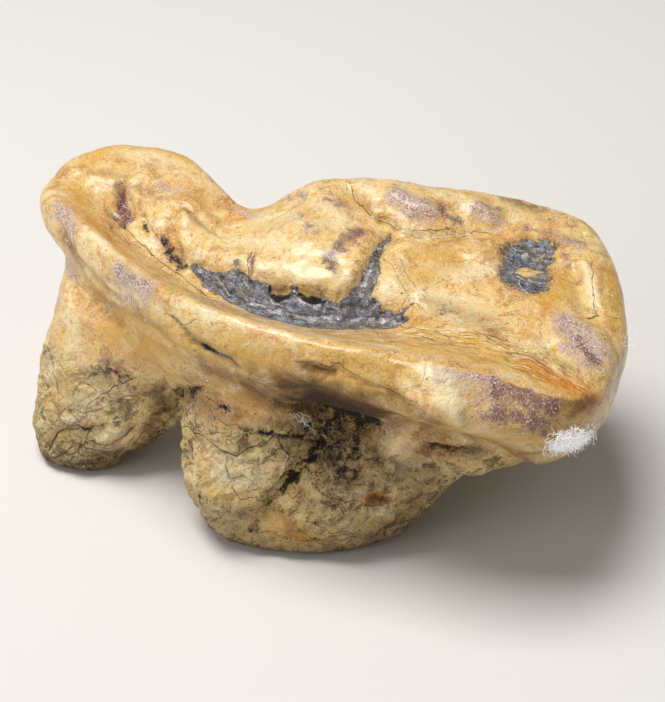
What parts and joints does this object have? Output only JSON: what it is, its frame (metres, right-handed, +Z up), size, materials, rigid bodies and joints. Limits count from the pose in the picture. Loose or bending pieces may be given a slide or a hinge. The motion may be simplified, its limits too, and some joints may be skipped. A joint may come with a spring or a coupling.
{
  "type": "fossil cave bear molar",
  "caption": "Worn upper molar of an extinct bear, long low grinding crown narrowing to a talon, standing on three blunt roots.",
  "frame": {"origin": "middle of the bounding box's base, on the surface that the root ends stand on", "axes": "+X runs along the tooth's length towards its broad mesial end, +Y is the cheek side, -Y the tongue side, +Z is up, from the roots to the chewing surface"},
  "size_m": [0.0478, 0.028, 0.0214],
  "materials": {
    "fossil_tooth": "glossy honey-coloured fossil enamel and dentine with dark mineral stains"
  },
  "bodies": {
    "root": {"molar": "fossil_tooth"}
  },
  "joints": []
}
